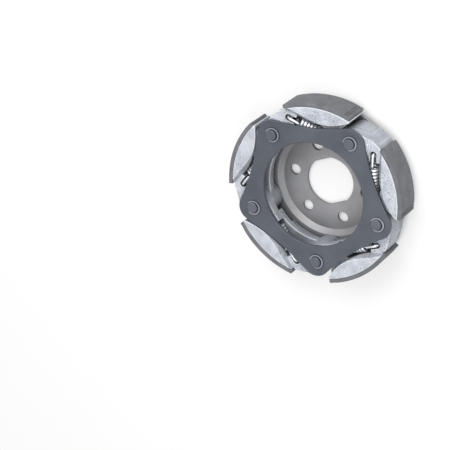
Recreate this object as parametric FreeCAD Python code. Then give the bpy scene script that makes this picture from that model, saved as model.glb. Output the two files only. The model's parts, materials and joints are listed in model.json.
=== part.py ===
import FreeCAD, Part
import math
import os

# Centrifugal clutch of a small belt drive: a dished drive plate and a cover
# plate carry five pins, and a shoe with a bonded lining swings on each pin.
# Frame: the origin is the centre of the plate's centre hole on its back face,
# +Z runs along the axis towards the cover, and +X passes through pin 1.
# A shoe reaches clockwise from its own pin, seen from the cover side, so its
# places are given as a radius and an angle clockwise from that pin.

Vector = FreeCAD.Vector
AXIS = Vector(0, 0, 1)
CENTRE = Vector(0, 0, 0)

# Layout
SHOE_COUNT = 5
PIN_CIRCLE_R = 59.5
AXIAL_PLAY = 0.3
EDGE_BREAK = 0.4

# Drive plate
PLATE_T = 3.0
PLATE_MARGIN = 11.0
DISH_INSET = 16.6
DISH_DEPTH = 3.5
DISH_WALL_RUN = 4.6
DISH_BEND_R = 1.4
CENTRE_HOLE_R = 21.2
CENTRE_FLAT_HALF = 19.8
CENTRE_FLAT_DEG = 162.24
TOOL_HOLE_COUNT = 6
TOOL_HOLE_R = 4.8
TOOL_HOLE_SHIFT = 0.65
TOOL_HOLE_DEG = 42.24

# Pivot pins and their circlips
PIN_R = 5.5
PIN_NECK_R = 4.6
PIN_TENON_R = 4.0
RIVET_HEAD_R = 6.4
RIVET_HEAD_H = 1.9
RIVET_CROWN_R = 4.0
RIVET_SHOULDER_R = 5.8
RIVET_SHOULDER_H = 1.2
PIN_STAND_OUT = 1.8
PIN_CHAMFER = 0.6
PRESS_CLEARANCE = 0.03
RUNNING_CLEARANCE = 0.05
CLIP_T = 1.0
CLIP_GROOVE_DEPTH = 0.45
CLIP_RING_W = 2.3
CLIP_RING_SHIFT = 0.35
CLIP_EARS_DEG = 56.0
CLIP_EAR_R = 1.35
CLIP_EAR_INNER = 0.75
CLIP_EAR_HOLE_R = 0.6
CLIP_TURNS_DEG = (18.0, -10.0, 32.0, -26.0, 8.0)

# Cover plate
COVER_T = 2.5
COVER_OPENING_INSET = 14.2
COVER_LOBE_R = 12.8
COVER_WAIST_DIP = 1.5

# Shoes: levels
BOSS_LENGTH = 27.4
CRESCENT_RISE = 1.3
LEDGE_HEIGHT = 14.2
LEDGE_T = 6.0
HEEL_DROP = 1.7
HEEL_STEP = 0.8
VALLEY_DEPTH = 4.5
VALLEY_END_DEG = 27.0

# Shoes: outline
BOSS_R = 12.0
BOSS_SHIFT = 1.0
BOSS_PAD_R = 15.2
HEEL_STEP_W = 1.7
KNUCKLE_DEG = 9.0
KNUCKLE_DROP = 1.8
HEEL_END_DEG = 17.3
CRESCENT_HEEL_DEG = 18.5
TOE_DEG = 64.0
TOE_T = 1.9
CRESCENT_BULGE = 7.2
CRESCENT_SLOPE_W = 1.8
CRESCENT_SLOPE_H = 1.8
LEDGE_INSET = 12.0
LEDGE_START_DEG = 6.0
BODY_INSET = 8.8
BODY_END_DEG = 41.5
SHOE_GAP = 1.85
HEEL_WALL_T = 2.5
NOSE_REACH = 3.4
NOSE_RIM_T = 3.3
VALLEY_LAP_DEG = 3.0

# Linings
LINING_REACH = 19.0
LINING_T = 3.3
LINING_START_DEG = 18.0
LINING_END_DEG = 63.5
LINING_BACK_INSET = 2.2
LINING_CHAMFER = 1.6
LINING_GROOVE_W = 0.9
LINING_GROOVE_DEPTH = 0.5
LINING_GROOVE_STEP = 2.1
LINING_GROOVE_COUNT = 2
BOND_GAP = 0.05

# Return springs and the bars that they hook on
WIRE_R = 1.05
WIRE_SIDES = 6
COIL_R = 5.2
COIL_TURNS = 8
COIL_PITCH = 2.9
TURN_STEPS = 10
COVER_ROOM = 0.3
POCKET_ROOM = 0.4
NEAR_EYE_DEPTH = 10.35
NEAR_EYE_DEG = 19.8
NEAR_SHANK = 7.2
FAR_EYE_INSET = 8.7
FAR_EYE_DEG = 55.4
EYE_SWEEP_DEG = 270.0
BAR_R = 1.4
BAR_PLAY = 0.25
SLOT_W = 5.4
SLOT_END_ROOM = 0.8
LUG_WALL_T = 2.1
LUG_TIP = 5.0
LUG_ROOT = 9.5
LUG_DROP = 1.6
LUG_RISE = 2.1

# Worked out from the sizes above
PITCH_DEG = 360.0 / SHOE_COUNT
PLATE_RIM_R = PIN_CIRCLE_R + PLATE_MARGIN
DISH_FLOOR_R = PIN_CIRCLE_R - DISH_INSET
TOOL_HOLE_CIRCLE_R = (CENTRE_HOLE_R + DISH_FLOOR_R) / 2 + TOOL_HOLE_SHIFT
COVER_OPENING_R = PIN_CIRCLE_R - COVER_OPENING_INSET
COVER_WAIST_R = PIN_CIRCLE_R - COVER_WAIST_DIP
LINING_R = PIN_CIRCLE_R + LINING_REACH
SHOE_R = LINING_R - LINING_T - BOND_GAP
LEDGE_INNER_R = PIN_CIRCLE_R - LEDGE_INSET
BODY_INNER_R = PIN_CIRCLE_R - BODY_INSET
BOSS_CLEAR_DEG = math.degrees(math.asin((BOSS_R + SHOE_GAP) / (PIN_CIRCLE_R - BOSS_SHIFT)))
LEDGE_END_DEG = PITCH_DEG - BOSS_CLEAR_DEG
NEAR_EYE_R = SHOE_R - NEAR_EYE_DEPTH
FAR_EYE_R = PIN_CIRCLE_R - FAR_EYE_INSET
COIL_MEAN_R = COIL_R - WIRE_R
BAR_SHIFT = COIL_MEAN_R - WIRE_R - BAR_R - BAR_PLAY
PLATE_BACK_Z = DISH_DEPTH
PLATE_SEAT_Z = PLATE_BACK_Z + PLATE_T
SHOE_BACK_Z = PLATE_SEAT_Z + AXIAL_PLAY
BOSS_TOP_Z = SHOE_BACK_Z + BOSS_LENGTH
COVER_BACK_Z = BOSS_TOP_Z + AXIAL_PLAY
COVER_FRONT_Z = COVER_BACK_Z + COVER_T
CRESCENT_TOP_Z = BOSS_TOP_Z + CRESCENT_RISE
HEEL_TOP_Z = BOSS_TOP_Z - HEEL_DROP
HEEL_STEP_Z = HEEL_TOP_Z + HEEL_STEP
VALLEY_Z = HEEL_TOP_Z - VALLEY_DEPTH
LEDGE_TOP_Z = SHOE_BACK_Z + LEDGE_HEIGHT
LEDGE_BACK_Z = LEDGE_TOP_Z - LEDGE_T
SPRING_Z = COVER_BACK_Z - COVER_ROOM - COIL_R
LUG_BACK_Z = LEDGE_TOP_Z + LUG_DROP
LUG_TOP_Z = SPRING_Z + LUG_RISE
PIN_TOP_Z = COVER_FRONT_Z + PIN_STAND_OUT


def at(radius, phi, z=0.0):
    """Point at a radius and an angle clockwise from the shoe's own pin."""
    angle = math.radians(phi)
    return Vector(radius * math.cos(angle), -radius * math.sin(angle), z)


def turned(shape, degrees):
    """The shape turned about the clutch axis."""
    copy = shape.copy()
    copy.rotate(CENTRE, AXIS, degrees)
    return copy


def arc(start, middle, end):
    """Edge of the circle through three points."""
    return Part.Arc(start, middle, end).toShape()


def line(start, end):
    """Straight edge between two points."""
    return Part.makeLine(start, end)


def prism(edges, low, high):
    """Solid on a closed plan outline, from one level to another."""
    face = Part.Face(Part.Wire(edges))
    face.translate(Vector(0, 0, low))
    return face.extrude(Vector(0, 0, high - low))


def disc(radius, centre, low, high):
    """Upright cylinder between two levels."""
    foot = Vector(centre.x, centre.y, low)
    return Part.makeCylinder(radius, high - low, foot, AXIS)


def sector(inner, outer, start, end, low, high):
    """Part of a ring between two radii, two angles and two levels."""
    middle = (start + end) / 2
    edges = [
        arc(at(outer, start), at(outer, middle), at(outer, end)),
        line(at(outer, end), at(inner, end)),
        arc(at(inner, end), at(inner, middle), at(inner, start)),
        line(at(inner, start), at(outer, start)),
    ]
    return prism(edges, low, high)


def plank(start, along, back, front, half_width, low, high):
    """Upright block that lies along a plan direction through a point."""
    side = Vector(-along.y, along.x, 0) * half_width
    near = start - along * back
    far = start + along * front
    corners = [near + side, far + side, far - side, near - side, near + side]
    face = Part.Face(Part.makePolygon(corners))
    face.translate(Vector(0, 0, low - start.z))
    return face.extrude(Vector(0, 0, high - low))


def revolved(points):
    """Solid turned about the clutch axis from (radius, height) points."""
    corners = [Vector(r, 0, z) for r, z in points]
    face = Part.Face(Part.makePolygon(corners + corners[:1]))
    return face.revolve(CENTRE, AXIS, 360)


def circles_at(shape, places):
    """The round edges of a turned solid that lie on given radii and heights."""
    found = []
    for edge in shape.Edges:
        if not hasattr(edge.Curve, "Radius"):
            continue
        for radius, z in places:
            close_radius = abs(edge.Curve.Radius - radius) < 0.01
            if close_radius and abs(edge.Curve.Center.z - z) < 0.01:
                found.append(edge)
    return found


def pin_centre(index=0):
    """Where pivot pin number index stands on the pin circle."""
    return at(PIN_CIRCLE_R, -index * PITCH_DEG)


def drive_plate():
    """Pressed steel plate: a flat floor, a joggle and a raised outer ring."""
    slope = math.atan2(DISH_DEPTH, DISH_WALL_RUN)
    shift = PLATE_T * math.tan(slope / 2)
    top_r = DISH_FLOOR_R + DISH_WALL_RUN
    floor_back_r = DISH_FLOOR_R + shift
    ring_back_r = top_r + shift
    plate = revolved([
        (0, 0),
        (floor_back_r, 0),
        (ring_back_r, PLATE_BACK_Z),
        (PLATE_RIM_R, PLATE_BACK_Z),
        (PLATE_RIM_R, PLATE_SEAT_Z),
        (top_r, PLATE_SEAT_Z),
        (DISH_FLOOR_R, PLATE_T),
        (0, PLATE_T),
    ])
    bends = circles_at(plate, [
        (floor_back_r, 0),
        (ring_back_r, PLATE_BACK_Z),
        (top_r, PLATE_SEAT_Z),
    ])
    plate = plate.makeFillet(DISH_BEND_R, bends)
    rims = circles_at(plate, [(PLATE_RIM_R, PLATE_BACK_Z), (PLATE_RIM_R, PLATE_SEAT_Z)])
    plate = plate.makeChamfer(EDGE_BREAK, rims)
    return plate.cut(centre_hole()).cut(plate_holes())


def centre_hole():
    """Round hole with two flats that the driving hub fits."""
    length = PLATE_T * 3
    round_hole = disc(CENTRE_HOLE_R, CENTRE, -PLATE_T, length)
    width = 4 * CENTRE_HOLE_R
    slab = Part.makeBox(2 * CENTRE_FLAT_HALF, width, length + PLATE_T)
    slab.translate(Vector(-CENTRE_FLAT_HALF, -width / 2, -PLATE_T))
    return round_hole.common(turned(slab, CENTRE_FLAT_DEG))


def plate_holes():
    """The ring of tool holes in the floor and the pins' holes in the ring."""
    holes = []
    for index in range(TOOL_HOLE_COUNT):
        turn = TOOL_HOLE_DEG + index * 360.0 / TOOL_HOLE_COUNT
        centre = at(TOOL_HOLE_CIRCLE_R, -turn)
        holes.append(disc(TOOL_HOLE_R, centre, -PLATE_T, 2 * PLATE_T))
    for index in range(SHOE_COUNT):
        radius = PIN_TENON_R + PRESS_CLEARANCE
        holes.append(disc(radius, pin_centre(index), 0, PLATE_SEAT_Z + PLATE_T))
    return Part.makeCompound(holes)


def waist_arc_centre_r():
    """Distance from the axis to the centre of a cover side's hollow arc."""
    inner = COVER_WAIST_R - COVER_LOBE_R
    chord_r = PIN_CIRCLE_R * math.cos(math.radians(PITCH_DEG / 2))
    return (PIN_CIRCLE_R ** 2 - inner ** 2) / (2 * (chord_r - inner))


def cover_plate():
    """Flat plate with a round lobe over each pin and slightly hollow sides."""
    hollow_r = waist_arc_centre_r()
    half = PITCH_DEG / 2
    edges = []
    for index in range(SHOE_COUNT):
        phi = -index * PITCH_DEG
        pin = at(PIN_CIRCLE_R, phi)
        ends = []
        for side in (half, -half):
            pull = at(hollow_r, phi + side) - pin
            ends.append(pin + pull.normalize() * COVER_LOBE_R)
        crown = at(PIN_CIRCLE_R + COVER_LOBE_R, phi)
        edges.append(arc(ends[0], crown, ends[1]))
        start = turned_point(ends[0], PITCH_DEG)
        edges.append(arc(ends[1], at(COVER_WAIST_R, phi - half), start))
    plate = prism(Part.__sortEdges__(edges), COVER_BACK_Z, COVER_FRONT_Z)
    plate = plate.cut(disc(COVER_OPENING_R, CENTRE, 0, 2 * COVER_FRONT_Z))
    front = [e for e in plate.Edges if e.BoundBox.ZMin > COVER_FRONT_Z - 0.01]
    plate = plate.makeChamfer(EDGE_BREAK, front)
    for index in range(SHOE_COUNT):
        radius = PIN_NECK_R + PRESS_CLEARANCE
        plate = plate.cut(disc(radius, pin_centre(index), 0, 2 * COVER_FRONT_Z))
    return plate


def turned_point(point, degrees):
    """The point turned about the clutch axis, anticlockwise."""
    return FreeCAD.Rotation(AXIS, degrees).multVec(point)


def pivot_pin():
    """Headed pin on the clutch axis, riveted behind the plate."""
    tenon_r = PIN_TENON_R
    groove_r = PIN_NECK_R - CLIP_GROOVE_DEPTH
    groove_top = COVER_FRONT_Z + CLIP_T + PRESS_CLEARANCE
    head_back = PLATE_BACK_Z - RIVET_HEAD_H
    return revolved([
        (0, head_back),
        (RIVET_CROWN_R, head_back),
        (RIVET_SHOULDER_R, PLATE_BACK_Z - RIVET_SHOULDER_H),
        (RIVET_HEAD_R, PLATE_BACK_Z),
        (tenon_r, PLATE_BACK_Z),
        (tenon_r, PLATE_SEAT_Z),
        (PIN_R, PLATE_SEAT_Z),
        (PIN_R, COVER_BACK_Z),
        (PIN_NECK_R, COVER_BACK_Z),
        (PIN_NECK_R, COVER_FRONT_Z),
        (groove_r, COVER_FRONT_Z),
        (groove_r, groove_top),
        (PIN_NECK_R, groove_top),
        (PIN_NECK_R, PIN_TOP_Z - PIN_CHAMFER),
        (PIN_NECK_R - PIN_CHAMFER, PIN_TOP_Z),
        (0, PIN_TOP_Z),
    ])


def circlip():
    """Spring ring with two pierced ears, its gap towards +X."""
    low = COVER_FRONT_Z
    high = low + CLIP_T
    bore_r = PIN_NECK_R - CLIP_GROOVE_DEPTH + PRESS_CLEARANCE
    outer_r = bore_r + CLIP_RING_W
    ring = disc(outer_r, Vector(-CLIP_RING_SHIFT, 0, 0), low, high)
    ear_r = outer_r - CLIP_RING_SHIFT
    half_gap = CLIP_EARS_DEG / 2
    ears = [at(ear_r, half_gap), at(ear_r, -half_gap)]
    for ear in ears:
        ring = ring.fuse(disc(CLIP_EAR_R, ear, low, high))
    reach = 2 * outer_r
    gap_deg = half_gap - math.degrees(CLIP_EAR_INNER / ear_r)
    corners = [CENTRE, at(reach, gap_deg), at(reach, -gap_deg), CENTRE]
    wedge = Part.Face(Part.makePolygon(corners)).extrude(Vector(0, 0, 2 * high))
    ring = ring.cut(wedge).cut(disc(bore_r, CENTRE, 0, 2 * high))
    for ear in ears:
        ring = ring.cut(disc(CLIP_EAR_HOLE_R, ear, 0, 2 * high))
    return ring


def crescent_edges():
    """Plan outline of a shoe's raised crescent, a lens on the lining seat."""
    heel = at(SHOE_R, CRESCENT_HEEL_DEG)
    toe_out = at(SHOE_R, TOE_DEG)
    toe_in = at(SHOE_R - TOE_T, TOE_DEG)
    chord = toe_in - heel
    inward = Vector(chord.y, -chord.x, 0).normalize()
    if inward.dot(heel) > 0:
        inward = inward * -1
    belly = (heel + toe_in) * 0.5 + inward * CRESCENT_BULGE
    crown = at(SHOE_R, (CRESCENT_HEEL_DEG + TOE_DEG) / 2)
    return [
        arc(heel, crown, toe_out),
        line(toe_out, toe_in),
        arc(toe_in, belly, heel),
    ]


def spring_line():
    """The two eyes' centres in plan and the direction from one to the other."""
    near = at(NEAR_EYE_R, NEAR_EYE_DEG)
    far = at(FAR_EYE_R, FAR_EYE_DEG)
    return near, far, (far - near).normalize()


def heel_block():
    """Full-height heel round the pin, with its steps and the slotted nose."""
    near, far, along = spring_line()
    boss_centre = Vector(PIN_CIRCLE_R - BOSS_SHIFT, 0, 0)
    boss = disc(BOSS_R, boss_centre, SHOE_BACK_Z, BOSS_TOP_Z)
    across = Vector(along.y, -along.x, 0)
    if across.dot(near) > 0:
        across = across * -1
    nose = near + along * NOSE_REACH
    nose_in = nose + across * (SLOT_W / 2 + HEEL_WALL_T)
    nose_out = nose - across * (SLOT_W / 2 + NOSE_RIM_T)
    boss_top = boss_centre + Vector(BOSS_R, 0, 0)
    reach = nose_in - boss_centre
    lean = math.degrees(math.atan2(reach.y, reach.x))
    lean -= math.degrees(math.acos(BOSS_R / reach.Length))
    tangent = boss_centre + turned_point(Vector(BOSS_R, 0, 0), lean)
    heel_end = at(SHOE_R, HEEL_END_DEG)
    knuckle = at(SHOE_R - KNUCKLE_DROP, KNUCKLE_DEG)
    edges = [
        arc(boss_top, knuckle, heel_end),
        line(heel_end, nose_out),
        line(nose_out, nose_in),
        line(nose_in, tangent),
        line(tangent, boss_centre),
        line(boss_centre, boss_top),
    ]
    full = prism(edges, SHOE_BACK_Z, BOSS_TOP_Z)
    pin = pin_centre()
    step = disc(BOSS_PAD_R + HEEL_STEP_W, pin, 0, HEEL_STEP_Z)
    pad = disc(BOSS_PAD_R, pin, 0, BOSS_TOP_Z)
    low = prism(edges, SHOE_BACK_Z, HEEL_TOP_Z)
    return low.fuse([full.common(step), full.common(pad), boss, valley()])


def valley():
    """Lower web between the heel's nose and the crescent."""
    inner = SHOE_R - 2 * CRESCENT_BULGE
    start = HEEL_END_DEG - VALLEY_LAP_DEG
    return sector(inner, SHOE_R, start, VALLEY_END_DEG, SHOE_BACK_Z, VALLEY_Z)


def crescent_slope(near, along, room, length):
    """Soft slope from the crescent's face down to the spring's pocket."""
    side = Vector(-along.y, along.x, 0)
    low = CRESCENT_TOP_Z - CRESCENT_SLOPE_H
    wide = room + CRESCENT_SLOPE_W
    corners = []
    for across, z in ((-room, low), (room, low), (wide, CRESCENT_TOP_Z), (-wide, CRESCENT_TOP_Z)):
        corners.append(Vector(near.x, near.y, z) + side * across)
    face = Part.Face(Part.makePolygon(corners + corners[:1]))
    return face.extrude(along * (length + room))


def shoe():
    """Die-cast shoe on pin 1: crescent, ledge, heel, hook bars and bore."""
    near, far, along = spring_line()
    crescent = prism(crescent_edges(), SHOE_BACK_Z, CRESCENT_TOP_Z)
    outline_r = SHOE_R - TOE_T
    ledge = sector(LEDGE_INNER_R, outline_r, LEDGE_START_DEG, LEDGE_END_DEG, LEDGE_BACK_Z, LEDGE_TOP_Z)
    body = sector(BODY_INNER_R, outline_r, LEDGE_START_DEG, BODY_END_DEG, SHOE_BACK_Z, LEDGE_TOP_Z)
    inner = ledge.fuse(body)
    solid = heel_block().fuse([inner, crescent])
    room = COIL_R + POCKET_ROOM
    length = (far - near).Length
    pocket = plank(near, along, -NOSE_REACH, length, room, LEDGE_TOP_Z, COVER_FRONT_Z)
    solid = solid.cut(pocket).cut(crescent_slope(near, along, room, length))
    slot_back = COIL_R + SLOT_END_ROOM - SLOT_W / 2
    slot = plank(near, along, slot_back, NOSE_REACH, SLOT_W / 2, LEDGE_TOP_Z, COVER_FRONT_Z)
    slot_end = disc(SLOT_W / 2, near - along * slot_back, LEDGE_TOP_Z, COVER_FRONT_Z)
    solid = solid.cut(slot.fuse(slot_end))
    solid = solid.fuse([bar(near - along * BAR_SHIFT, along), far_lug()])
    bore = disc(PIN_R + RUNNING_CLEARANCE, pin_centre(), 0, COVER_FRONT_Z)
    return solid.cut(bore).removeSplitter()


def bar(centre, along):
    """Round bar across a slot, at the level of the spring's eye."""
    across = Vector(-along.y, along.x, 0)
    half = SLOT_W / 2 + LUG_WALL_T / 2
    start = Vector(centre.x, centre.y, SPRING_Z) - across * half
    return Part.makeCylinder(BAR_R, 2 * half, start, across)


def far_lug():
    """Forked lug of the heel that holds the spring of the shoe before it."""
    _, far, along = spring_line()
    eye = turned_point(far, PITCH_DEG)
    along = turned_point(along, PITCH_DEG)
    half = SLOT_W / 2 + LUG_WALL_T
    eye_deg = FAR_EYE_DEG - PITCH_DEG
    tip_deg = eye_deg - math.degrees(LUG_TIP / FAR_EYE_R)
    lug = sector(FAR_EYE_R - half, FAR_EYE_R + half, tip_deg, 0, LUG_BACK_Z, LUG_TOP_Z)
    gap = plank(eye, along, LUG_ROOT, COIL_R + WIRE_R, SLOT_W / 2, LUG_BACK_Z, COVER_BACK_Z)
    return lug.cut(gap).fuse(bar(eye + along * BAR_SHIFT, along))


def lining():
    """Bonded friction lining with a chamfered, twice grooved toe end."""
    inner = LINING_R - LINING_T
    low = SHOE_BACK_Z + LINING_BACK_INSET
    pad = sector(inner, LINING_R, LINING_START_DEG, LINING_END_DEG, low, CRESCENT_TOP_Z)
    edge_deg = math.degrees(LINING_CHAMFER / LINING_R)
    corners = [
        at(LINING_R + LINING_CHAMFER, LINING_END_DEG - 2 * edge_deg),
        at(LINING_R + LINING_CHAMFER, LINING_END_DEG + edge_deg),
        at(LINING_R - LINING_CHAMFER, LINING_END_DEG + edge_deg),
    ]
    face = Part.Face(Part.makePolygon(corners + corners[:1]))
    pad = pad.cut(face.extrude(Vector(0, 0, 2 * CRESCENT_TOP_Z)))
    groove_deg = math.degrees(LINING_GROOVE_W / LINING_R)
    step_deg = math.degrees(LINING_GROOVE_STEP / LINING_R)
    floor_r = LINING_R - LINING_GROOVE_DEPTH
    for index in range(LINING_GROOVE_COUNT):
        start = LINING_END_DEG - edge_deg - (index + 1) * step_deg
        pad = pad.cut(sector(floor_r, LINING_R + 1, start, start + groove_deg, 0, 2 * CRESCENT_TOP_Z))
    return pad


def spring_path(length):
    """Points along the wire: eye, shank, coil, shank, eye, with the coil on +X."""
    coil_length = COIL_TURNS * COIL_PITCH
    eye_steps = round(TURN_STEPS * EYE_SWEEP_DEG / 360)
    points = []
    for step in range(eye_steps + 1):
        angle = math.radians(90 + EYE_SWEEP_DEG * (1 - step / eye_steps))
        points.append(Vector(COIL_MEAN_R * math.cos(angle), 0, COIL_MEAN_R * math.sin(angle)))
    coil_steps = COIL_TURNS * TURN_STEPS
    for step in range(coil_steps + 1):
        angle = 2 * math.pi * step / TURN_STEPS
        x = NEAR_SHANK + coil_length * step / coil_steps
        points.append(Vector(x, -COIL_MEAN_R * math.sin(angle), COIL_MEAN_R * math.cos(angle)))
    for step in range(eye_steps + 1):
        angle = math.radians(90 - EYE_SWEEP_DEG * step / eye_steps)
        x = length + COIL_MEAN_R * math.cos(angle)
        points.append(Vector(x, 0, COIL_MEAN_R * math.sin(angle)))
    return points


def wire(points):
    """Solid wire along a path of short straight runs, mitred where they meet."""
    runs = [(b - a).normalize() for a, b in zip(points, points[1:])]
    side = runs[0].cross(Vector(0, 1, 0)).normalize()
    up = runs[0].cross(side)
    ring = []
    for corner in range(WIRE_SIDES):
        angle = 2 * math.pi * corner / WIRE_SIDES
        ring.append(points[0] + (side * math.cos(angle) + up * math.sin(angle)) * WIRE_R)
    faces = [Part.Face(Part.makePolygon(ring + ring[:1]))]
    for index, run in enumerate(runs):
        after = runs[min(index + 1, len(runs) - 1)]
        normal = (run + after).normalize()
        end = points[index + 1]
        moved = [p + run * ((end - p).dot(normal) / run.dot(normal)) for p in ring]
        for corner in range(WIRE_SIDES):
            other = (corner + 1) % WIRE_SIDES
            quad = [ring[corner], ring[other], moved[other], moved[corner], ring[corner]]
            faces.append(Part.Face(Part.makePolygon(quad)))
        ring = moved
    faces.append(Part.Face(Part.makePolygon(ring + ring[:1])))
    shell = Part.makeShell(faces)
    shell.sewShape()
    solid = Part.Solid(shell)
    if solid.Volume < 0:
        solid.reverse()
    return solid


def return_spring():
    """Extension spring from the slot of its own shoe to the next one's lug."""
    near, far, along = spring_line()
    spring = wire(spring_path((far - near).Length))
    spring.rotate(CENTRE, AXIS, math.degrees(math.atan2(along.y, along.x)))
    spring.translate(Vector(near.x, near.y, SPRING_Z))
    return spring


def parts():
    """Every named piece of the clutch, in place."""
    made = {"drive_plate": drive_plate(), "cover_plate": cover_plate()}
    pin = pivot_pin()
    clip = circlip()
    swinging = {"shoe": shoe(), "lining": lining(), "return_spring": return_spring()}
    for index in range(SHOE_COUNT):
        turn = index * PITCH_DEG
        number = index + 1
        place = pin_centre(index)
        standing = pin.copy()
        standing.translate(place)
        made["pivot_pin_%d" % number] = standing
        ring = turned(clip, turn + CLIP_TURNS_DEG[index % len(CLIP_TURNS_DEG)])
        ring.translate(place)
        made["circlip_%d" % number] = ring
        for name, shape in swinging.items():
            made["%s_%d" % (name, number)] = turned(shape, turn)
    return made


def write_parts():
    """Write one STEP file per piece and print its size."""
    os.makedirs("parts", exist_ok=True)
    for name, shape in parts().items():
        shape.exportStep("parts/%s.step" % name)
        box = shape.BoundBox
        print("%-16s solids %d valid %s volume %.0f z %.2f..%.2f" % (
            name, len(shape.Solids), shape.isValid(), shape.Volume, box.ZMin, box.ZMax))


write_parts()
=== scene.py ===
# %% [markdown]
# # A centrifugal clutch, dressed for a studio picture
#
# The clutch turns with its belt drive. Five lined shoes swing out on pins as it speeds up, until they
# grip the drum around them, and five springs pull them back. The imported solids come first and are
# never moved. What this script adds is the finish of each surface, the soft edges of the castings, the
# open rings on the pins and the bent wire of the springs. All lengths are in metres, in the frame of
# the solids: the axis of the clutch is Z, and its back lies on the floor at zero.

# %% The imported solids
import json
import math

import bmesh
import bpy
from mathutils import Matrix, Vector


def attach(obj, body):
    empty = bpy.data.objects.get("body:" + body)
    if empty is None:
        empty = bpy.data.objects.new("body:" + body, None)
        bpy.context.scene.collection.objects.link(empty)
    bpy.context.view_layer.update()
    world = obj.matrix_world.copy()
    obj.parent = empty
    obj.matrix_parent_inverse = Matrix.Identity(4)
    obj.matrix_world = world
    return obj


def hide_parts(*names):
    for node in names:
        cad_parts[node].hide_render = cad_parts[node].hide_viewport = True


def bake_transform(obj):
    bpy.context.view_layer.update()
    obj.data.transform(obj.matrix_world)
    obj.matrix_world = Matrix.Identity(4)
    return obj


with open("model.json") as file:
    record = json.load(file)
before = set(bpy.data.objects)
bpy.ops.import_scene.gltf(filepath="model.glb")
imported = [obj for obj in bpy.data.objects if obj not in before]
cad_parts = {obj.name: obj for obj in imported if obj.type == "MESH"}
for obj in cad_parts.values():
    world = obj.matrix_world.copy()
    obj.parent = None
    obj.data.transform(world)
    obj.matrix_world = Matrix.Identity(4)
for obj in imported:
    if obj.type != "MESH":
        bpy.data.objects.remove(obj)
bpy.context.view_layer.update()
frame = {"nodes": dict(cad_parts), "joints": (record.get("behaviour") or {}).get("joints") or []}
nodes = frame["nodes"]
MM = 0.001
SHOES = range(1, 1 + len(frame["joints"]))
PITCH = 2 * math.pi / len(SHOES)

# %% [markdown]
# ## The camera
#
# The picture looks down on the cover at about 33 degrees from the axis, and the camera is turned round
# its own line of sight, so that the clutch leans in the frame. A long lens keeps the near and the far
# rim almost the same size. The place and the turn come from a fit of the five pins to the picture.

# %% Camera
CAMERA_PLACE = Vector((63.6, -834.6, 1284.1)) * MM
CAMERA_EULER_DEG = (-23.912, 28.582, -130.045)
CAMERA_LENS = 146.56
SENSOR_WIDTH = 36.0


def add_to_scene(name, data):
    """New object for a mesh, a curve, a lamp or a camera, linked to the scene."""
    made = bpy.data.objects.new(name, data)
    bpy.context.scene.collection.objects.link(made)
    return made


view = bpy.data.cameras.new("camera")
view.lens = CAMERA_LENS
view.sensor_width = SENSOR_WIDTH
view.clip_start = 0.05
camera = add_to_scene("camera", view)
camera.location = CAMERA_PLACE
camera.rotation_euler = [math.radians(a) for a in CAMERA_EULER_DEG]
bpy.context.scene.camera = camera
camera_turn = camera.rotation_euler.to_matrix()
print("camera stands", round(CAMERA_PLACE.length, 3), "m from the origin")

# %% [markdown]
# ## Node trees
#
# A material or a Geometry Nodes tree is a graph of small boxes. Written out in full, each box takes
# several lines, so this short class makes a box, sets what it needs and links what feeds it. Colours
# are written as they look, from 0 to 255, and turned into the linear values that a shader wants.

# %% Helpers for node trees
def linear(red, green, blue):
    """Linear colour for a colour written as it looks, 0 to 255."""
    def one(value):
        value = value / 255
        return value / 12.92 if value <= 0.04045 else ((value + 0.055) / 1.055) ** 2.4
    return (one(red), one(green), one(blue), 1.0)


class Graph:
    """Short way to write a node tree: node("ShaderNodeMath", {0: 1.0}, operation="ADD")."""

    def __init__(self, tree):
        self.tree = tree

    def node(self, kind, inputs=None, **settings):
        """Add a node, set its options, and set or link its inputs."""
        made = self.tree.nodes.new(kind)
        for name, value in settings.items():
            setattr(made, name, value)
        for name, value in (inputs or {}).items():
            if isinstance(value, bpy.types.NodeSocket):
                self.tree.links.new(value, made.inputs[name])
            else:
                made.inputs[name].default_value = value
        return made

    def math(self, operation, first, second=0.0):
        """Result of a sum, product or the like of two values."""
        return self.node("ShaderNodeMath", {0: first, 1: second}, operation=operation).outputs[0]


def new_material(name):
    """Empty node material and its graph."""
    material = bpy.data.materials.new(name)
    material.use_nodes = True
    material.node_tree.nodes.clear()
    return material, Graph(material.node_tree)


def place(g):
    """The point being shaded, in metres."""
    return g.node("ShaderNodeTexCoord").outputs["Object"]


def ramp(g, value, low, high, start=0.0, end=1.0):
    """The value, stretched from low..high to start..end and held there."""
    return g.node("ShaderNodeMapRange", {"Value": value, 1: low, 2: high, 3: start, 4: end}).outputs[0]


def shade(g, colour, factor):
    """A colour made darker or lighter by a grey factor."""
    return g.node("ShaderNodeVectorMath", {0: colour, "Scale": factor}, operation="SCALE").outputs[0]


print("middle grey, 128, as a linear value:", round(linear(128, 128, 128)[0], 3))

# %% [markdown]
# ## Floor
#
# A white sweep in a photo studio is one soft surface with no horizon. Here it is a disc with a nearly
# white paint, which takes the shadow of the clutch. To the camera a share of the paint glows, so that
# the sweep looks white without more light on the clutch, and the share grows with the distance, which
# hides the disc's rim. Under the clutch, in its tool holes, ambient occlusion darkens the paint as
# painted shade.

# %% Floor
FLOOR_RADIUS = 3.0
FLOOR_SINK = 0.0002
FLOOR_CORNERS = 96
FLOOR_COLOUR = linear(250, 250, 250)
FLOOR_GLOW = 0.6
GLOW_FROM = 0.25
GLOW_FULL = 0.8
HOLE_DEPTH = 9 * MM
HOLE_SHADE = 0.55
RAY_SAMPLES = 12

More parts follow.
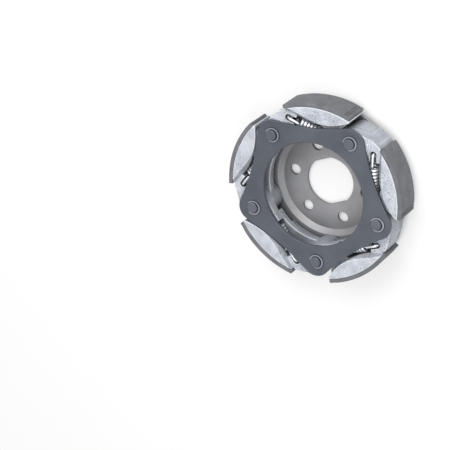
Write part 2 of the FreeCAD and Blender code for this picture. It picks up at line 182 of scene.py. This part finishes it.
floor_mesh = bpy.data.meshes.new("floor")
rim = []
for corner in range(FLOOR_CORNERS):
    angle = 2 * math.pi * corner / FLOOR_CORNERS
    rim.append((FLOOR_RADIUS * math.cos(angle), FLOOR_RADIUS * math.sin(angle), -FLOOR_SINK))
floor_mesh.from_pydata(rim, [], [list(range(FLOOR_CORNERS))])
floor = add_to_scene("floor", floor_mesh)

floor_paint, g = new_material("studio_floor")
# painted shade: the floor paint is darker where ambient occlusion finds it closed in, as in the tool
# holes
openness = g.node("ShaderNodeAmbientOcclusion", {"Distance": HOLE_DEPTH}, samples=RAY_SAMPLES)
shaded = ramp(g, openness.outputs["AO"], 0.3, 0.8, HOLE_SHADE)
toned = shade(g, FLOOR_COLOUR[:3], shaded)
paint = g.node("ShaderNodeBsdfDiffuse", {"Color": toned})
glow = g.node("ShaderNodeEmission", {"Color": toned, "Strength": 1.0})
seen = g.node("ShaderNodeLightPath").outputs["Is Camera Ray"]
away = g.node("ShaderNodeVectorMath", {0: place(g)}, operation="LENGTH").outputs["Value"]
share = g.math("MULTIPLY", seen, ramp(g, away, GLOW_FROM, GLOW_FULL, FLOOR_GLOW))
both = g.node("ShaderNodeMixShader", {0: share, 1: paint.outputs[0], 2: glow.outputs[0]})
g.node("ShaderNodeOutputMaterial", {"Surface": both.outputs[0]})
floor_mesh.materials.append(floor_paint)
print("floor:", FLOOR_RADIUS, "m in radius")

# %% [markdown]
# ## World and lamps
#
# The world is white to the camera and to rays that glossy metal sends out, so that the metal mirrors a
# white room. For all other rays it is a weaker fill, because the pockets of the real clutch are dark.
# Three large soft lamps are placed by the picture's own left, right and up, so that the shading falls
# where it does in the picture: the key stands to its upper left.

# %% World and lamps
WORLD_FILL = 0.57
WHITE = (1, 1, 1, 1)
SOFTBOX_SIZE = 0.9

world = bpy.data.worlds.new("studio")
world.use_nodes = True
world.node_tree.nodes.clear()
g = Graph(world.node_tree)
path = g.node("ShaderNodeLightPath")
seen = g.math("MAXIMUM", path.outputs["Is Camera Ray"], path.outputs["Is Glossy Ray"])
seen = g.math("MAXIMUM", seen, path.outputs["Is Transmission Ray"])
fill = g.node("ShaderNodeBackground", {"Color": WHITE, "Strength": WORLD_FILL})
white = g.node("ShaderNodeBackground", {"Color": WHITE, "Strength": 1.0})
mixed = g.node("ShaderNodeMixShader", {0: seen, 1: fill.outputs[0], 2: white.outputs[0]})
g.node("ShaderNodeOutputWorld", {"Surface": mixed.outputs[0]})
bpy.context.scene.world = world


def softbox(name, right, up, towards, distance, power):
    """Square area lamp, placed by the picture's right and up and its line of sight."""
    lamp = bpy.data.lights.new(name, "AREA")
    lamp.size = SOFTBOX_SIZE
    lamp.energy = power
    holder = add_to_scene(name, lamp)
    way = (camera_turn @ Vector((right, up, towards))).normalized()
    holder.location = way * distance
    holder.rotation_euler = way.to_track_quat("Z", "Y").to_euler()


softbox("key", right=-0.4, up=0.4, towards=0.95, distance=1.3, power=13.5)
softbox("side", right=0.8, up=0.1, towards=0.8, distance=1.4, power=4)
softbox("low", right=-0.1, up=-0.75, towards=0.9, distance=1.4, power=5.5)
bpy.context.scene.view_settings.view_transform = "Standard"
print("lamps:", len(bpy.data.lights))

# %% [markdown]
# ## What every finish shares
#
# Real metal is never one colour. A slow drift of tone runs across it and a fine grain lies on top, and
# painted shade darkens the places that are closed in. Each of these is a small helper on Object
# coordinates, which are metres in the frame of the clutch, so that a scale of 100 gives features of
# about ten millimetres. The painted shade comes from ambient occlusion, which measures how closed in a
# point is.

# %% Helpers for finishes
POCKET_SHUT = 0.15
POCKET_OPEN = 0.85
SPOT_CORE = 0.55
MASK_EDGE = 0.05


def cloud(g, where, scale, detail=3.0, rough=0.55):
    """Soft noise from 0 to 1."""
    inputs = {"Vector": where, "Scale": scale, "Detail": detail, "Roughness": rough}
    return g.node("ShaderNodeTexNoise", inputs).outputs["Fac"]


def drawn_cloud(g, where, scales):
    """Soft noise with its own scale along each axis, so that a small scale draws it out into lines."""
    return cloud(g, g.node("ShaderNodeMapping", {"Vector": where, "Scale": scales}).outputs[0], 1.0)


def tint(g, colour, other, amount):
    """Mix of two colours."""
    return g.node("ShaderNodeMix", {0: amount, 6: colour, 7: other}, data_type="RGBA").outputs[2]


def painted_pocket_shade(g, distance, darkest):
    """Painted shade: a factor from darkest in a pocket to 1 in the open."""
    made = g.node("ShaderNodeAmbientOcclusion", {"Distance": distance}, samples=RAY_SAMPLES)
    return ramp(g, made.outputs["AO"], POCKET_SHUT, POCKET_OPEN, darkest)


def spots(g, where, scale, size, mask, cut):
    """Small round spots, 1 inside, kept where a slow mask is above the cut."""
    cell = g.node("ShaderNodeTexVoronoi", {"Vector": where, "Scale": scale}, feature="F1")
    dot = ramp(g, cell.outputs["Distance"], size, size * SPOT_CORE)
    return g.math("MULTIPLY", dot, ramp(g, mask, cut, cut + MASK_EDGE))


def painted_top_light(g, low, high, flank):
    """Painted light and shade: a factor from flank on steep faces to 1 on faces that look up."""
    normal = g.node("ShaderNodeNewGeometry").outputs["Normal"]
    return ramp(g, g.node("ShaderNodeSeparateXYZ", {0: normal}).outputs["Z"], low, high, flank)


def bumped(g, height, strength, depth):
    """Normal of a surface with a fine height on it."""
    inputs = {"Height": height, "Strength": strength, "Distance": depth}
    return g.node("ShaderNodeBump", inputs).outputs["Normal"]


def finish(g, colour, rough, metallic, normal, gloss=0.5):
    """Surface shader and output."""
    surface = g.node("ShaderNodeBsdfPrincipled", {
        "Base Color": colour, "Roughness": rough, "Metallic": metallic, "Normal": normal,
        "Specular IOR Level": gloss})
    g.node("ShaderNodeOutputMaterial", {"Surface": surface.outputs[0]})


print("rays that measure how closed in a point is:", RAY_SAMPLES)

# %% [markdown]
# ## Cast aluminium
#
# The shoes are die castings that were tumbled clean. Their skin is a light, slightly blue grey with
# patches, clusters of small dark pits where gas came out of the metal, and lighter scuffed specks.
# Faces that look up are painted lighter than the flanks, and edges get a painted highlight: both are
# painted light. The pockets get painted shade, dull and dark. A blasted casting mirrors little, so its
# gloss is low and its roughness high.

# %% Cast aluminium finish
CAST_LIGHT = linear(188, 192, 200)
CAST_DULL = linear(168, 172, 181)
CAST_PIT = linear(88, 93, 103)
# the colour of the lighter scuffed specks, and of the painted highlight on edges
CAST_SCUFF_AND_HIGHLIGHT = linear(226, 229, 235)

cast_aluminium, g = new_material("cast_aluminium")
where = place(g)
patches = cloud(g, where, 85, 4)
grain = cloud(g, where, 1400, 2)
clusters = cloud(g, where, 70, 2)
pits = spots(g, where, scale=520, size=0.36, mask=clusters, cut=0.54)
specks = spots(g, where, scale=460, size=0.34, mask=cloud(g, where, 110, 2), cut=0.5)
colour = tint(g, CAST_DULL, CAST_LIGHT, ramp(g, patches, 0.38, 0.62))
colour = shade(g, colour, ramp(g, grain, 0.3, 0.7, 0.95, 1.05))
colour = tint(g, colour, CAST_SCUFF_AND_HIGHLIGHT, g.math("MULTIPLY", specks, 0.6))
colour = tint(g, colour, CAST_PIT, g.math("MULTIPLY", pits, 0.7))
# painted light and shade: faces that look up lighter, flanks darker
colour = shade(g, colour, painted_top_light(g, low=0.7, high=0.97, flank=0.72))
# painted shade in the pockets
colour = shade(g, colour, painted_pocket_shade(g, distance=25 * MM, darkest=0.4))
# painted highlight along sharp edges, found by pointiness
edge = ramp(g, g.node("ShaderNodeNewGeometry").outputs["Pointiness"], 0.508, 0.54)
colour = tint(g, colour, CAST_SCUFF_AND_HIGHLIGHT, g.math("MULTIPLY", edge, 0.7))
height = g.math("SUBTRACT", g.math("MULTIPLY", grain, 0.5), pits)
rough = ramp(g, patches, 0.3, 0.7, 0.62, 0.72)
finish(g, colour, rough, metallic=0.1, normal=bumped(g, height, 0.5, 0.2 * MM), gloss=0.25)
print("finish:", cast_aluminium.name)

# %% [markdown]
# ## Friction lining
#
# A lining is ground resin with mineral grains and short fibres, so it is a matt grey with light and
# dark points. Its outer face is ground round the clutch, which leaves faint rings, and they are made
# by stretching a noise along the plan direction and squeezing it along the axis.

# %% Friction lining finish
LINING_GREY = linear(93, 94, 98)
LINING_PALE = linear(107, 108, 112)
LINING_DARK = linear(66, 68, 73)

friction_lining, g = new_material("friction_lining")
where = place(g)
grain = cloud(g, where, 1700, 3, 0.7)
rings = drawn_cloud(g, where, (25, 25, 1500))
dots = spots(g, where, scale=900, size=0.25, mask=cloud(g, where, 200, 2), cut=0.55)
colour = tint(g, LINING_GREY, LINING_PALE, ramp(g, cloud(g, where, 120, 3), 0.35, 0.65))
colour = shade(g, colour, ramp(g, rings, 0.3, 0.7, 0.93, 1.06))
colour = shade(g, colour, ramp(g, grain, 0.3, 0.7, 0.88, 1.12))
colour = tint(g, colour, LINING_DARK, dots)
# painted light and shade: faces that look up lighter, flanks darker
colour = shade(g, colour, painted_top_light(g, low=0.5, high=0.9, flank=0.8))
# painted shade in the pockets
colour = shade(g, colour, painted_pocket_shade(g, distance=12 * MM, darkest=0.55))
height = g.math("ADD", grain, g.math("MULTIPLY", rings, 0.6))
finish(g, colour, rough=0.75, metallic=0.0, normal=bumped(g, height, 0.5, 0.12 * MM))
print("finish:", friction_lining.name)

# %% [markdown]
# ## Steels
#
# The cover is stamped sheet with a dark bluish surface treatment. It is the calmest surface of the
# clutch: a satin that drifts slowly in tone, a fine rolled grain in one direction, and a few small
# dark specks. The pins, the circlips and the drive plate differ only in tone, gloss and the way of
# their grain, so one function makes all four. It paints shade into wide hollows, a little, and into
# narrow gaps, such as the one between a ring and its pin, nearly to black.

# %% Steel finishes
def steel(name, deep, pale, rolled, speck, rough, metallic, hollow=10 * MM):
    """Satin steel: a slow drift of tone, rolled grain along one way, and dark specks."""
    material, g = new_material(name)
    where = place(g)
    drift = cloud(g, where, 38, 3)
    streaks = drawn_cloud(g, where, rolled)
    grain = cloud(g, where, 2200, 2)
    dots = spots(g, where, scale=330, size=0.16, mask=cloud(g, where, 60, 2), cut=0.54)
    colour = tint(g, deep, pale, ramp(g, drift, 0.35, 0.65))
    colour = shade(g, colour, ramp(g, streaks, 0.3, 0.7, 0.97, 1.03))
    colour = shade(g, colour, g.math("SUBTRACT", 1.0, g.math("MULTIPLY", dots, speck)))
    # painted shade: a little in wide hollows, nearly black in narrow gaps
    colour = shade(g, colour, painted_pocket_shade(g, distance=hollow, darkest=0.55))
    colour = shade(g, colour, painted_pocket_shade(g, distance=1.6 * MM, darkest=0.12))
    height = g.math("ADD", grain, g.math("MULTIPLY", streaks, 0.5))
    spread = ramp(g, drift, 0.3, 0.7, rough - 0.03, rough + 0.05)
    finish(g, colour, spread, metallic, bumped(g, height, 0.35, 0.06 * MM))
    return material


cover_steel = steel(
    "cover_steel", deep=linear(72, 76, 84), pale=linear(83, 87, 95),
    rolled=(40, 900, 900), speck=0.5, rough=0.5, metallic=0.3)
pin_steel = steel(
    "pin_steel", deep=linear(84, 88, 96), pale=linear(96, 100, 108),
    rolled=(900, 900, 60), speck=0.4, rough=0.42, metallic=0.4)
clip_steel = steel(
    "clip_steel", deep=linear(122, 126, 134), pale=linear(140, 144, 152),
    rolled=(700, 700, 700), speck=0.3, rough=0.38, metallic=0.4)
plate_steel = steel(
    "plate_steel", deep=linear(143, 143, 146), pale=linear(156, 156, 159),
    rolled=(900, 60, 900), speck=0.45, rough=0.46, metallic=0.3, hollow=30 * MM)
print("finishes:", cover_steel.name, pin_steel.name, clip_steel.name, plate_steel.name)

# %% [markdown]
# ## Spring wire
#
# The springs are bright zinc-plated wire, the brightest thing in the picture. The plating is nearly a
# mirror with a little haze, and its tone changes slightly along the wire.

# %% Spring wire finish
WIRE_BRIGHT = linear(232, 233, 238)
WIRE_HAZE = linear(196, 199, 206)

spring_wire, g = new_material("spring_wire")
where = place(g)
haze = cloud(g, where, 500, 3)
colour = tint(g, WIRE_HAZE, WIRE_BRIGHT, ramp(g, haze, 0.35, 0.6))
# painted shade where the wire is closed in, between its turns
colour = shade(g, colour, painted_pocket_shade(g, distance=3 * MM, darkest=0.8))
rough = ramp(g, haze, 0.3, 0.7, 0.34, 0.2)
finish(g, colour, rough, metallic=0.75, normal=bumped(g, cloud(g, where, 3000, 2), 0.2, 0.04 * MM))
print("finish:", spring_wire.name)

# %% [markdown]
# ## Finishes on the solids
#
# Each node of the solids takes the finish of its slot. The plates and the pins are right as solids, so
# they keep their meshes and only take this finish. The others are replaced further on.

# %% Give each solid its finish
finish_of = {
    "drive_plate": plate_steel, "cover_plate": cover_steel, "pivot_pin": pin_steel, "circlip": clip_steel,
    "shoe": cast_aluminium, "lining": friction_lining, "return_spring": spring_wire,
}
for name, solid in nodes.items():
    kind = name if name in finish_of else name.rsplit("_", 1)[0]
    solid.data.materials.clear()
    solid.data.materials.append(finish_of[kind])
print("solids with a finish:", len(nodes))

# %% [markdown]
# ## Copies of the solids
#
# A solid's mesh is never changed, so a piece that needs another form starts from a copy of it. The
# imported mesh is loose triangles, and the copy's doubles are merged first. Modifiers then shape it, and
# their result becomes its plain mesh. The casting and the spring are made once, for shoe 1, and turned
# in their meshes for the others, so that every object stays at the origin.

# %% Helpers for copies
SAME_POINT = 0.001 * MM
FLAT_DEG = 0.5


def merged_copy(name, solid):
    """Copy of a solid's mesh with its loose triangles joined."""
    mesh = solid.data.copy()
    mesh.name = name
    work = bmesh.new()
    work.from_mesh(mesh)
    bmesh.ops.remove_doubles(work, verts=work.verts, dist=SAME_POINT)
    bmesh.ops.dissolve_limit(work, angle_limit=math.radians(FLAT_DEG), verts=work.verts, edges=work.edges)
    work.to_mesh(mesh)
    work.free()
    return add_to_scene(name, mesh)


def settle(made):
    """Replace an object's mesh by what its modifiers make, and drop them."""
    graph = bpy.context.evaluated_depsgraph_get()
    mesh = bpy.data.meshes.new_from_object(made.evaluated_get(graph))
    made.modifiers.clear()
    made.data = mesh
    mesh.name = made.name
    return made


def shoe_turn(number):
    """Turn about the clutch axis that takes shoe 1 to another shoe."""
    return Matrix.Rotation((number - 1) * PITCH, 4, "Z")


def turned_piece(name, mesh, number):
    """Object for shoe number, with a copy of shoe 1's mesh turned about the clutch axis."""
    copy = mesh.copy()
    copy.name = name
    copy.transform(shoe_turn(number))
    return add_to_scene(name, copy)


def triangles(mesh):
    """Number of triangles of a mesh."""
    mesh.calc_loop_triangles()
    return len(mesh.loop_triangles)


print("from shoe to shoe:", round(math.degrees(PITCH), 1), "degrees")

# %% [markdown]
# ## The crescent's face
#
# Two soft forms of the casting are easier in a skin than in a solid. The face of the crescent falls
# away in a slope towards the spring, wide at the heel and narrow in the middle. Towards the toe a
# narrow shelf runs along the crescent, a little lower than its face. Both follow one curve, the inner
# edge of the face, given here as radii at a few angles from the pin. The plan of the crescent is a
# lens, and the slope stays inside its inner arc, so that it never reaches the heel.

# %% The crescent's forms
FACE_EDGE = [
    (17, 79.0), (20, 76.0), (23, 72.7), (27, 70.0), (30, 68.0), (33, 66.0), (36, 64.5),
    (40, 63.1), (45, 62.4), (49, 62.9), (53, 64.2), (57, 66.5), (60, 68.8), (64, 72.0)]
FACE_Z = 35.5 * MM
SLOPE = 0.85
SLOPE_START_DEG = 19.0
SLOPE_END_DEG = 50.0
SLOPE_FLOOR_Z = 28.2 * MM
LENS_CENTRE = Vector((90.91, -81.42)) * MM
LENS_R = 61.13 * MM
SHELF_W = 4.5
SHELF_START_W = 2.0
SHELF_GROWTH = 0.4
NEXT_BOSS_R = 58.5
NEXT_BOSS_ROOM = 14.3
SHELF_LAP = 1.5
SHELF_Z = 33.0 * MM
SHELF_BACK_Z = 16.0 * MM
SHELF_START_DEG = 43
SHELF_END_DEG = 62


def face_edge(degrees):
    """Radius of the inner edge of the crescent's face, in mm, at an angle from the pin."""
    for (before, low), (after, high) in zip(FACE_EDGE, FACE_EDGE[1:]):
        if before <= degrees <= after:
            return low + (high - low) * (degrees - before) / (after - before)
    return None


def add_slab(mesh, outline, low, high):
    """Join a closed slab on a plan outline to a mesh."""
    work = bmesh.new()
    work.from_mesh(mesh)
    foot = [work.verts.new((p.x, p.y, low)) for p in outline]
    top = [work.verts.new((p.x, p.y, high)) for p in outline]
    made = [work.faces.new(foot), work.faces.new(top)]
    for index in range(len(outline)):
        after = (index + 1) % len(outline)
        made.append(work.faces.new((foot[index], foot[after], top[after], top[index])))
    bmesh.ops.recalc_face_normals(work, faces=made)
    work.to_mesh(mesh)
    work.free()


def slope_down(mesh):
    """Lower the skin inside the face's edge, so that it falls towards the spring."""
    lowered = 0
    for point in mesh.vertices:
        radius = math.hypot(point.co.x, point.co.y) / MM
        degrees = -math.degrees(math.atan2(point.co.y, point.co.x))
        edge = face_edge(degrees)
        if edge is None or not SLOPE_START_DEG < degrees < SLOPE_END_DEG:
            continue
        inside = edge - radius
        in_lens = (point.co.xy - LENS_CENTRE).length < LENS_R
        if inside > 0 and point.co.z > SLOPE_FLOOR_Z and in_lens:
            level = FACE_Z - SLOPE * inside * MM
            if point.co.z > level:
                point.co.z = level
                lowered += 1
    return lowered


print("face edge at 45 degrees:", face_edge(45), "mm from the axis")

# %% [markdown]
# ## Castings
#
# A die casting has no sharp edge anywhere: the metal has to leave its mould. A bevel would be the
# usual way, but the shoe joins many forms at odd angles, where a bevel tangles. So the casting is
# skinned again with small voxels and smoothed a few times, which rounds every corner by a few tenths
# of a millimetre and keeps the large faces flat. The shelf is a slab that goes in before the first
# skin. The slope is a move of that skin's points, after which it is skinned again, so that no face
# stays crushed.

# %% Castings
VOXEL = 0.45 * MM
SOFTENING = 3


def skinned(made, smoothing):
    """Skin an object with small voxels and smooth it."""
    remesh = made.modifiers.new("skin", "REMESH")
    remesh.mode = "VOXEL"
    remesh.voxel_size = VOXEL
    remesh.use_smooth_shade = True
    if smoothing:
        soften = made.modifiers.new("soften", "SMOOTH")
        soften.factor = 0.5
        soften.iterations = smoothing
    return settle(made)


def shelf_edge(degrees):
    """Inner radius of the shelf, in mm: its width from the edge, but clear of the next shoe's boss."""
    turn = PITCH - math.radians(degrees)
    reach = NEXT_BOSS_ROOM ** 2 - (NEXT_BOSS_R * math.sin(turn)) ** 2
    clear = NEXT_BOSS_R * math.cos(turn) + math.sqrt(reach) if reach > 0 else 0
    width = min(SHELF_W, SHELF_START_W + SHELF_GROWTH * (degrees - SHELF_START_DEG))
    return max(face_edge(degrees) - width, clear)


def plan(radius, degrees):
    """Plan point at a radius and an angle clockwise from the shoe's own pin."""
    angle = math.radians(degrees)
    return Vector((radius * math.cos(angle), -radius * math.sin(angle), 0))


angles = range(SHELF_START_DEG, SHELF_END_DEG + 1)
shelf = [plan((face_edge(a) + SHELF_LAP) * MM, a) for a in angles]
shelf += [plan(shelf_edge(a) * MM, a) for a in reversed(angles)]
skin = merged_copy("casting", nodes["shoe_1"])
add_slab(skin.data, shelf, SHELF_BACK_Z, SHELF_Z)
skinned(skin, 0)
print("points lowered:", slope_down(skin.data))
skinned(skin, SOFTENING)
for number in SHOES:
    casting = turned_piece("casting_%d" % number, skin.data, number)
    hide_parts("shoe_%d" % number)
    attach(casting, "shoe_arm_%d" % number)
print("casting:", triangles(skin.data), "triangles")
bpy.data.objects.remove(skin)

# %% [markdown]
# ## Linings
#
# A lining is a plain form with clean edges, so a narrow bevel does: it breaks the edge just enough to
# catch the light. Faces that meet at more than 30 degrees keep a crisp line between them.

# %% Bevelled copies
EDGE_DEG = 30.0
BEVEL_STEPS = 2
LINING_BEVEL = 0.22 * MM


def bevelled(made, width):
    """Break the edges of an object with a narrow bevel and shade it."""
    bevel = made.modifiers.new("edges", "BEVEL")
    bevel.width = width
    bevel.segments = BEVEL_STEPS
    bevel.limit_method = "ANGLE"
    bevel.angle_limit = math.radians(EDGE_DEG)
    settle(made)
    for face in made.data.polygons:
        face.use_smooth = True
    made.data.set_sharp_from_angle(angle=math.radians(EDGE_DEG))
    return made


for number in SHOES:
    pad = bevelled(merged_copy("lining_pad_%d" % number, nodes["lining_%d" % number]), LINING_BEVEL)
    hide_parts("lining_%d" % number)
    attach(pad, "shoe_arm_%d" % number)
print("lining:", triangles(pad.data), "triangles")

# %% [markdown]
# ## Circlips
#
# Each pin ends in a groove with an open ring snapped into it. The ring sits off centre, because its
# back bears on one side of the pin, and so a dark sickle shows between ring and pin on the other side.
# It is drawn as a flat open outline, pulled up to its thickness and bevelled. In the picture each ring
# is turned a little differently, and so are these.

# %% Snap rings
RING_INNER = 4.95 * MM
RING_OUTER = 6.25 * MM
RING_SHIFT = 0.95 * MM
RING_LOW = 37.05 * MM
RING_T = 0.95 * MM
RING_OPEN_DEG = 80
RING_STEPS = 44
RING_BEVEL = 0.16 * MM
RING_TURNS_DEG = (252, 238, 263, 246, 270)
PIN_CIRCLE_R = 59.5 * MM


def snap_ring(name, pin, turn):
    """Open ring round a pin, its back towards the turn."""
    centre = pin + Vector((math.cos(turn), math.sin(turn), 0)) * RING_SHIFT
    outline = []
    half = math.radians(180 - RING_OPEN_DEG / 2)
    for radius, way in ((RING_OUTER, 1), (RING_INNER, -1)):
        for step in range(RING_STEPS + 1):
            angle = turn + way * half * (2 * step / RING_STEPS - 1)
            outline.append(centre + Vector((math.cos(angle), math.sin(angle), 0)) * radius)
    mesh = bpy.data.meshes.new(name)
    add_slab(mesh, outline, RING_LOW, RING_LOW + RING_T)
    mesh.materials.append(clip_steel)
    return bevelled(add_to_scene(name, mesh), RING_BEVEL)


for number, turn in zip(SHOES, RING_TURNS_DEG):
    pin = shoe_turn(number) @ Vector((PIN_CIRCLE_R, 0, 0))
    ring = snap_ring("snap_ring_%d" % number, pin, math.radians(turn))
    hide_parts("circlip_%d" % number)
    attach(ring, "carrier")
print("circlip:", triangles(ring.data), "triangles")

# %% [markdown]
# ## Springs
#
# A return spring is one wire: an eye, a short shank, eight turns and a second eye. It could be a
# swept solid, but round wire with smooth bends comes easier from a NURBS route of ten points for
# each turn. Both eyes are hooked on bars of two different shoes, so the spring is made in two halves
# that meet in the middle of the coil.

# %% Route of the wire
WIRE_R = 1.2 * MM
MEAN_R = 4.15 * MM
TURNS = 8
TURN_PITCH = 2.9 * MM
SHANK = 7.2 * MM
SHANK_EASE = 3.2 * MM
NEAR_EYE = (64.8 * MM, 19.8)
FAR_EYE = (50.8 * MM, 55.4)
SPRING_Z = 29.0 * MM
TURN_STEP_DEG = 36
EYE_STEP_DEG = 30

near_eye = plan(*NEAR_EYE) + Vector((0, 0, SPRING_Z))
far_eye = plan(*FAR_EYE) + Vector((0, 0, SPRING_Z))
along = (far_eye - near_eye).normalized()
across = Vector((-along.y, along.x, 0))
length = (far_eye - near_eye).length


def on_spring(x, y, z):
    """Point of the spring's own frame, with the near eye's centre at zero."""
    return near_eye + along * x + across * y + Vector((0, 0, z))


def coil_point(degrees):
    """Control point of the coil at an angle along its turns."""
    radius = MEAN_R / math.cos(math.radians(TURN_STEP_DEG / 2))
    angle = math.radians(degrees)
    x = SHANK + TURN_PITCH * degrees / 360
    return on_spring(x, -radius * math.sin(angle), radius * math.cos(angle))


def eye_points(centre_x, angles):
    """Control points of an eye, which stands upright on the spring's line."""
    radius = MEAN_R / math.cos(math.radians(EYE_STEP_DEG / 2))
    turns = [math.radians(a) for a in angles]
    return [on_spring(centre_x + radius * math.cos(a), 0, radius * math.sin(a)) for a in turns]


coil_end = SHANK + TURNS * TURN_PITCH
first = TURN_STEP_DEG * 1.5
steps = round((TURNS * 360 - 2 * first) / TURN_STEP_DEG)
coil = [coil_point(first + step * TURN_STEP_DEG) for step in range(steps + 1)]
half = len(coil) // 2
middle = (coil[half - 1] + coil[half]) / 2
lead = MEAN_R * math.tan(math.radians(EYE_STEP_DEG / 4))
near_route = eye_points(0, range(360, 119, -EYE_STEP_DEG))
near_route += [on_spring(x, 0, MEAN_R) for x in (-lead, SHANK - SHANK_EASE, SHANK)]
near_route += coil[:half] + [middle]
far_route = [middle] + coil[half:]
far_route += [on_spring(x, 0, MEAN_R) for x in (coil_end, coil_end + SHANK_EASE, length + lead)]
far_route += eye_points(length, range(60, -181, -EYE_STEP_DEG))
print("spring:", round(length / MM, 1), "mm from eye to eye")
print("route points:", len(near_route), "and", len(far_route))

# %% [markdown]
# ## The wire's tree
#
# The wire itself follows a rule, a circle swept along a line, so Geometry Nodes make it. The tree has
# the wire's radius, its number of sides and its finish as inputs, and its ends are capped.

# %% The bent wire tree
def bent_wire_tree():
    """Geometry Nodes tree that sweeps a circle along a mesh line."""
    tree = bpy.data.node_groups.new("bent wire", "GeometryNodeTree")
    face = tree.interface
    face.new_socket("Geometry", in_out="INPUT", socket_type="NodeSocketGeometry")
    face.new_socket("Wire Radius", in_out="INPUT", socket_type="NodeSocketFloat")
    face.new_socket("Sides", in_out="INPUT", socket_type="NodeSocketInt")
    face.new_socket("Finish", in_out="INPUT", socket_type="NodeSocketMaterial")
    face.new_socket("Geometry", in_out="OUTPUT", socket_type="NodeSocketGeometry")
    g = Graph(tree)
    given = g.node("NodeGroupInput").outputs
    line = g.node("GeometryNodeMeshToCurve", {"Mesh": given["Geometry"]})
    round_wire = g.node("GeometryNodeCurvePrimitiveCircle", {
        "Resolution": given["Sides"], "Radius": given["Wire Radius"]})
    swept = g.node("GeometryNodeCurveToMesh", {
        "Curve": line.outputs[0], "Profile Curve": round_wire.outputs[0], "Fill Caps": True})
    smooth = g.node("GeometryNodeSetShadeSmooth", {"Geometry": swept.outputs[0]})
    real = g.node("GeometryNodeRealizeInstances", {"Geometry": smooth.outputs[0]})
    painted = g.node("GeometryNodeSetMaterial", {
        "Geometry": real.outputs[0], "Material": given["Finish"]})
    g.node("NodeGroupOutput", {"Geometry": painted.outputs[0]})
    return tree


bent_wire = bent_wire_tree()
print("tree:", bent_wire.name, "with", len(bent_wire.nodes), "nodes")

# %% [markdown]
# ## Wire along the routes
#
# A route's points steer a NURBS spline, which runs smoothly between them. The spline is read back as a
# fine line, and the tree sweeps the wire along that line. Two halves are made in this way.

# %% Wire along a route
WIRE_SIDES = 14
ROUTE_STEPS = 3


def wire_line(name, points):
    """Mesh line read from the route's NURBS spline."""
    curve = bpy.data.curves.new(name, "CURVE")
    curve.dimensions = "3D"
    spline = curve.splines.new("NURBS")
    spline.points.add(len(points) - 1)
    for knot, point in zip(spline.points, points):
        knot.co = (*point, 1.0)
    spline.order_u = 3
    spline.use_endpoint_u = True
    spline.resolution_u = ROUTE_STEPS
    holder = add_to_scene(name, curve)
    graph = bpy.context.evaluated_depsgraph_get()
    mesh = bpy.data.meshes.new_from_object(holder.evaluated_get(graph))
    bpy.data.objects.remove(holder)
    return mesh


def bent(name, points):
    """Round wire along a route, as a plain mesh."""
    made = add_to_scene(name, wire_line(name, points))
    sweep = made.modifiers.new("wire", "NODES")
    sweep.node_group = bent_wire
    sockets = bent_wire.interface.items_tree
    given = {item.name: item.identifier for item in sockets if item.in_out == "INPUT"}
    sweep[given["Wire Radius"]] = WIRE_R
    sweep[given["Sides"]] = WIRE_SIDES
    sweep[given["Finish"]] = spring_wire
    return settle(made)


near_half = bent("near_half", near_route)
far_half = bent("far_half", far_route)
print("wire:", triangles(near_half.data), "and", triangles(far_half.data), "triangles")

# %% [markdown]
# ## Springs in place
#
# Each spring hangs between its own shoe and the shoe before it. The two halves made for shoe 1 are
# turned to each shoe's place, and the spring's solid is hidden.

# %% Springs in place
for number in SHOES:
    turn = shoe_turn(number)
    near = turned_piece("spring_near_%d" % number, near_half.data, number)
    far = turned_piece("spring_far_%d" % number, far_half.data, number)
    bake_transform(near)
    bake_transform(far)
    for piece in (near, far):
        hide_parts("return_spring_%d" % number)
for model in (near_half, far_half):
    bpy.data.objects.remove(model)
print("springs:", len(SHOES))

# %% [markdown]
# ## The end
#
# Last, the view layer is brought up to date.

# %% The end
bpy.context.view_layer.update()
